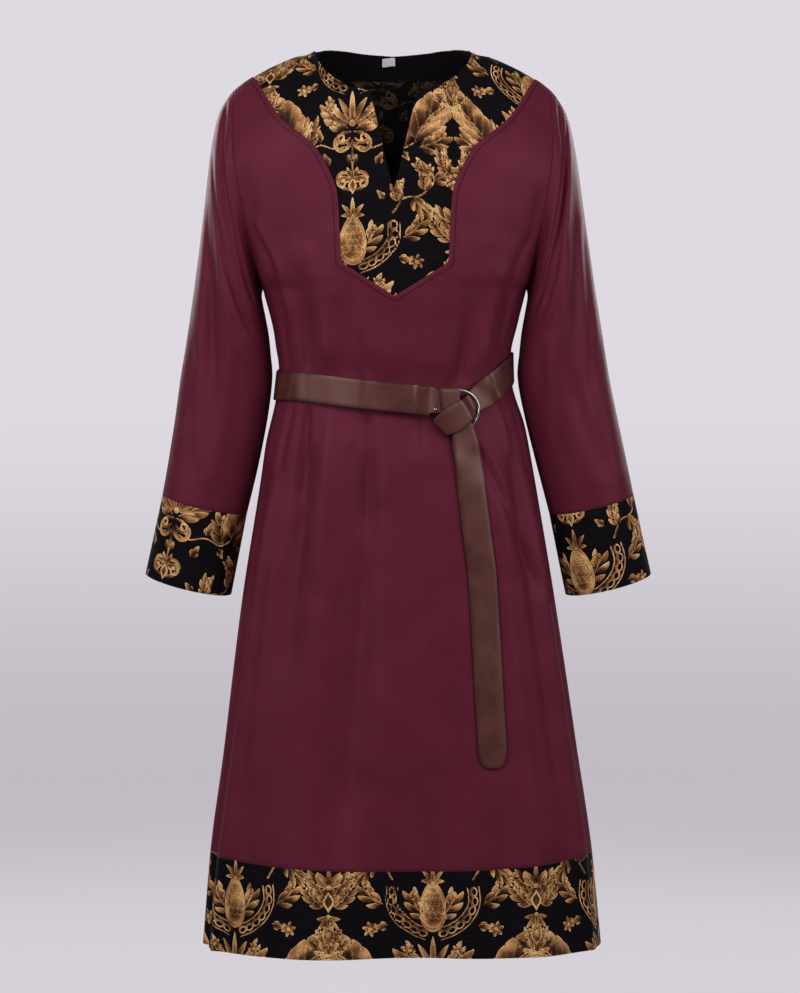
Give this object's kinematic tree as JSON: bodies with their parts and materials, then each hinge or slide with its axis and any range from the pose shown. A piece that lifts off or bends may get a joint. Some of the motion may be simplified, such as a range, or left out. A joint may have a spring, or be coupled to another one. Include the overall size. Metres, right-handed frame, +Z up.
{
  "type": "kaftan",
  "caption": "Calf-length pull-on kaftan in wine satin with black and gold brocade yoke, cuffs and hem band, tied with a dark leather ring belt.",
  "frame": {"origin": "midway between the two shoulder seams, level with the ends of the neck opening, where the wearer's shoulders hold it", "axes": "+Z up, -Y out of the front, +X towards the wearer's left"},
  "size_m": [0.6566, 0.3088, 1.162],
  "materials": {
    "satin": "soft sheen satin",
    "brocade": "black velvet ground with gold satin figures",
    "leather": "smooth, soft sheen",
    "metal": "polished",
    "label": "matt"
  },
  "bodies": {
    "root": {"front_panel": "satin", "back_panel": "satin", "sleeve_left": "satin", "sleeve_right": "satin", "front_yoke": "brocade", "back_yoke": "brocade", "neck_facing": "brocade", "hem_band_front": "brocade", "hem_band_back": "brocade", "cuff_left": "brocade", "cuff_right": "brocade", "belt_strap": "leather", "belt_tail": "leather", "belt_ring": "metal", "belt_rivet": "metal", "neck_label": "label"}
  },
  "joints": []
}
